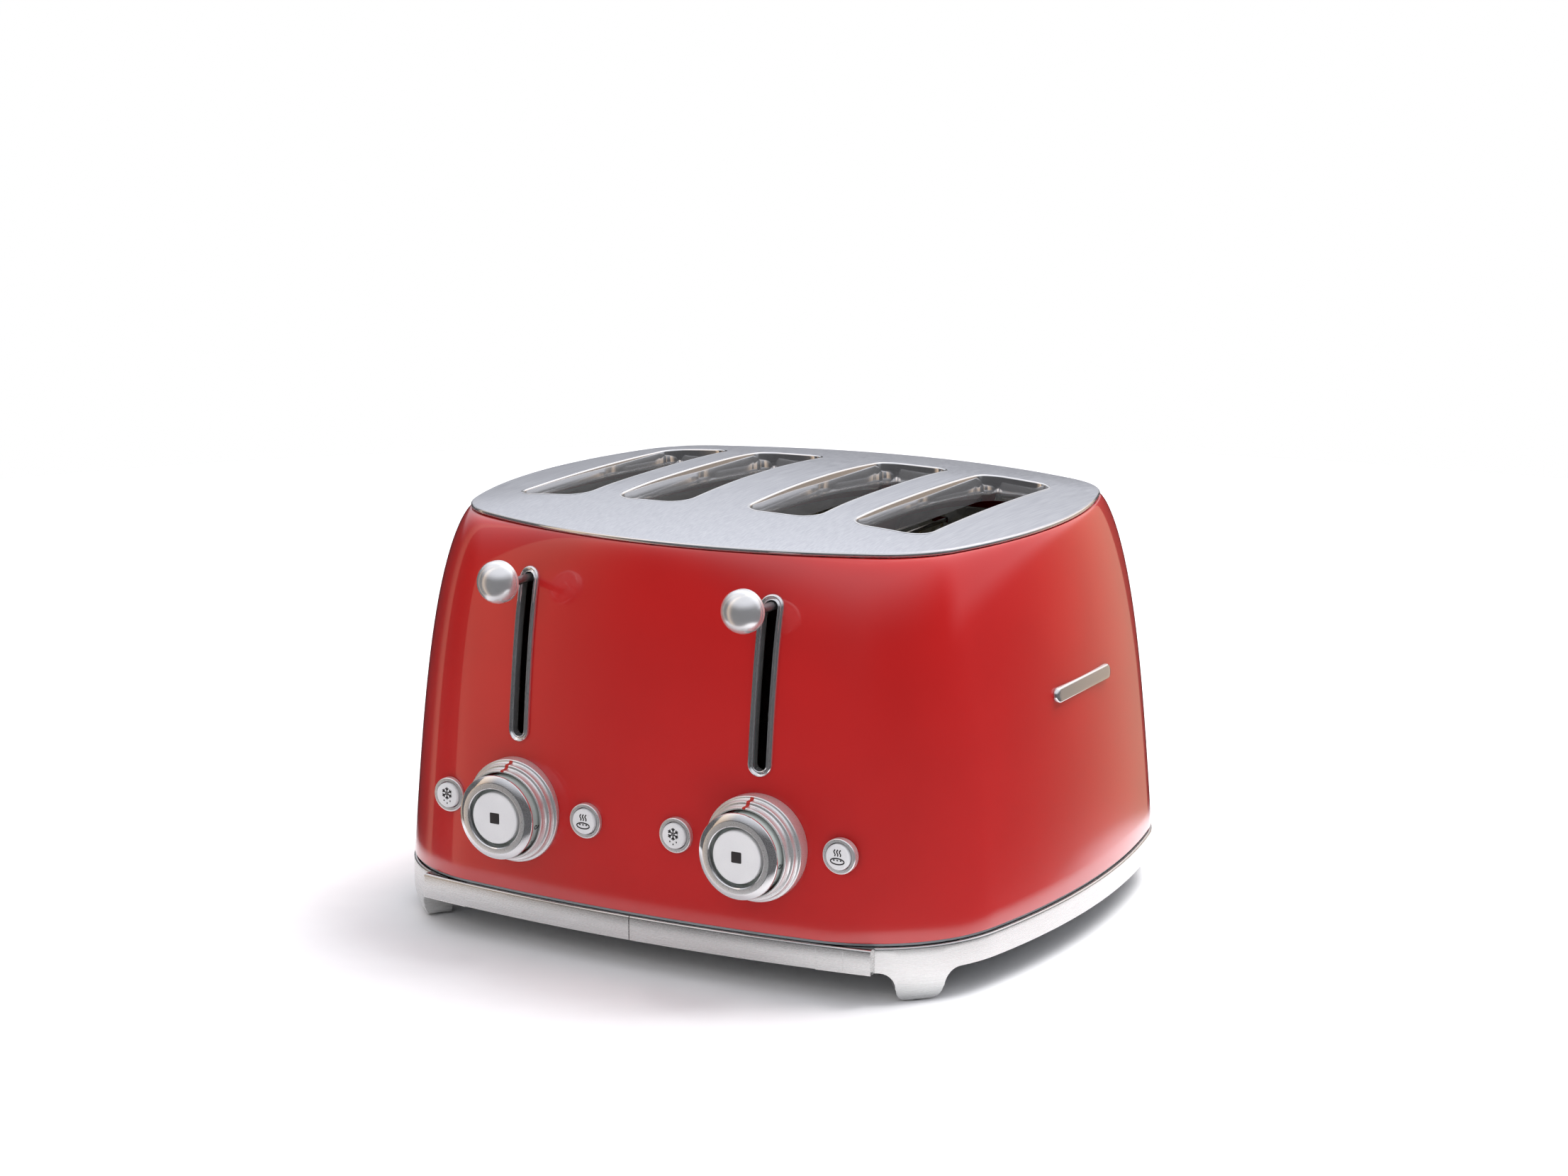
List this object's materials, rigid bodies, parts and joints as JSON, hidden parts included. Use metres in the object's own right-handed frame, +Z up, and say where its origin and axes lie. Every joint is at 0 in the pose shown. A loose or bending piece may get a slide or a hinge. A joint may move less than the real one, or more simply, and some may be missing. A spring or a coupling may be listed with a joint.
{
  "type": "pop up toaster",
  "caption": "Wide pop-up toaster: domed plate with long bread slots, two lift levers, two browning dials with centre push buttons, side push buttons, slide-out crumb trays and a band on feet.",
  "frame": {"origin": "centre of the toaster's outline on the plane it stands on, midway between the lever balls in front and the cord gland behind", "axes": "+Z up, -Y towards the user (levers and dials), +X to the user's right"},
  "size_m": [0.3348, 0.328, 0.2105],
  "materials": {
    "red_enamel": "gloss",
    "brushed_plate": "satin",
    "bright_chrome": "polished",
    "satin_button": "satin",
    "dial_sleeve": "satin",
    "galvanised_sheet": "satin",
    "guide_wire": "satin",
    "mica": "matte",
    "ribbon": "dull",
    "spring_steel": "satin",
    "copper_winding": "lacquered",
    "circuit_board": "satin",
    "black_moulding": "matte",
    "foot_rubber": "matte",
    "seam_grey": "satin"
  },
  "bodies": {
    "housing": {"outer_shell": "red_enamel", "top_plate": "brushed_plate", "base_band": "bright_chrome", "seam_ring": "seam_grey", "base_floor": "galvanised_sheet", "base_frame": "galvanised_sheet", "floor_screws": "bright_chrome", "foot_pads": "foot_rubber", "side_trim": "bright_chrome", "lever_bezels": "bright_chrome", "dial_bezel_right": "bright_chrome", "dial_bezel_left": "bright_chrome", "button_rings": "bright_chrome", "front_bulkhead": "galvanised_sheet", "rear_bulkhead": "galvanised_sheet", "heat_shields": "galvanised_sheet", "heater_boards": "mica", "heating_ribbons": "ribbon", "rod_brackets": "galvanised_sheet", "guide_rods": "guide_wire", "magnet_cores": "galvanised_sheet", "magnet_coils": "copper_winding", "potentiometers": "black_moulding", "control_boards": "circuit_board", "board_supports": "galvanised_sheet", "board_switches": "black_moulding", "power_board": "circuit_board", "board_spacers": "black_moulding", "power_parts": "black_moulding", "terminal_block": "black_moulding", "cord_gland": "black_moulding"},
    "lift_carriage_left": {"carriage_left": "galvanised_sheet", "bread_racks_left": "guide_wire", "lever_ball_left": "bright_chrome", "latch_keeper_left": "galvanised_sheet", "return_spring_left": "spring_steel"},
    "inner_guides_left": {"bread_guides_inner_left": "guide_wire"},
    "outer_guides_left": {"bread_guides_outer_left": "guide_wire"},
    "dial_left": {"dial_skirt_left": "dial_sleeve", "dial_cap_left": "bright_chrome"},
    "stop_left": {"stop_button_left": "satin_button"},
    "defrost_left": {"defrost_button_left": "satin_button"},
    "warm_left": {"warm_button_left": "satin_button"},
    "tray_left": {"crumb_tray_left": "galvanised_sheet", "tray_front_left": "bright_chrome"},
    "lift_carriage_right": {"carriage_right": "galvanised_sheet", "bread_racks_right": "guide_wire", "lever_ball_right": "bright_chrome", "latch_keeper_right": "galvanised_sheet", "return_spring_right": "spring_steel"},
    "inner_guides_right": {"bread_guides_inner_right": "guide_wire"},
    "outer_guides_right": {"bread_guides_outer_right": "guide_wire"},
    "dial_right": {"dial_skirt_right": "dial_sleeve", "dial_cap_right": "bright_chrome"},
    "stop_right": {"stop_button_right": "satin_button"},
    "defrost_right": {"defrost_button_right": "satin_button"},
    "warm_right": {"warm_button_right": "satin_button"},
    "tray_right": {"crumb_tray_right": "galvanised_sheet", "tray_front_right": "bright_chrome"}
  },
  "joints": [
    {"name": "lift_left", "type": "slide", "parent": "housing", "child": "lift_carriage_left", "axis": [0, 0, -1], "range_m": [0, 0.07], "stiffness_N_per_m": 60, "springref_m": -0.08, "deforming": ["return_spring_left"]},
    {"name": "squeeze_inner_left", "type": "slide", "parent": "housing", "child": "inner_guides_left", "axis": [-1, 0, 0], "range_m": [0, 0.006]},
    {"name": "squeeze_outer_left", "type": "slide", "parent": "housing", "child": "outer_guides_left", "axis": [1, 0, 0], "range_m": [0, 0.006]},
    {"name": "browning_left", "type": "hinge", "parent": "housing", "child": "dial_left", "pos_m": [-0.0649, -0.15613, 0.0679], "axis": [0, 1, 0], "range_deg": [0, 260]},
    {"name": "press_stop_left", "type": "slide", "parent": "housing", "child": "stop_left", "axis": [0, 1, 0], "range_m": [0, 0.0018], "stiffness_N_per_m": 600, "springref_m": -0.002},
    {"name": "press_defrost_left", "type": "slide", "parent": "housing", "child": "defrost_left", "axis": [0, 1, 0], "range_m": [0, 0.0018], "stiffness_N_per_m": 600, "springref_m": -0.002},
    {"name": "press_warm_left", "type": "slide", "parent": "housing", "child": "warm_left", "axis": [0, 1, 0], "range_m": [0, 0.0018], "stiffness_N_per_m": 600, "springref_m": -0.002},
    {"name": "tray_out_left", "type": "slide", "parent": "housing", "child": "tray_left", "axis": [0, -1, 0], "range_m": [0, 0.23]},
    {"name": "lift_right", "type": "slide", "parent": "housing", "child": "lift_carriage_right", "axis": [0, 0, -1], "range_m": [0, 0.07], "stiffness_N_per_m": 60, "springref_m": -0.08, "deforming": ["return_spring_right"]},
    {"name": "squeeze_inner_right", "type": "slide", "parent": "housing", "child": "inner_guides_right", "axis": [1, 0, 0], "range_m": [0, 0.006]},
    {"name": "squeeze_outer_right", "type": "slide", "parent": "housing", "child": "outer_guides_right", "axis": [-1, 0, 0], "range_m": [0, 0.006]},
    {"name": "browning_right", "type": "hinge", "parent": "housing", "child": "dial_right", "pos_m": [0.0649, -0.15613, 0.0679], "axis": [0, 1, 0], "range_deg": [0, 260]},
    {"name": "press_stop_right", "type": "slide", "parent": "housing", "child": "stop_right", "axis": [0, 1, 0], "range_m": [0, 0.0018], "stiffness_N_per_m": 600, "springref_m": -0.002},
    {"name": "press_defrost_right", "type": "slide", "parent": "housing", "child": "defrost_right", "axis": [0, 1, 0], "range_m": [0, 0.0018], "stiffness_N_per_m": 600, "springref_m": -0.002},
    {"name": "press_warm_right", "type": "slide", "parent": "housing", "child": "warm_right", "axis": [0, 1, 0], "range_m": [0, 0.0018], "stiffness_N_per_m": 600, "springref_m": -0.002},
    {"name": "tray_out_right", "type": "slide", "parent": "housing", "child": "tray_right", "axis": [0, -1, 0], "range_m": [0, 0.23]}
  ],
  "couplings": [
    {"joint": "squeeze_inner_left", "follows": "lift_left", "ratio": 0.085714},
    {"joint": "squeeze_outer_left", "follows": "lift_left", "ratio": 0.085714},
    {"joint": "squeeze_inner_right", "follows": "lift_right", "ratio": 0.085714},
    {"joint": "squeeze_outer_right", "follows": "lift_right", "ratio": 0.085714}
  ]
}
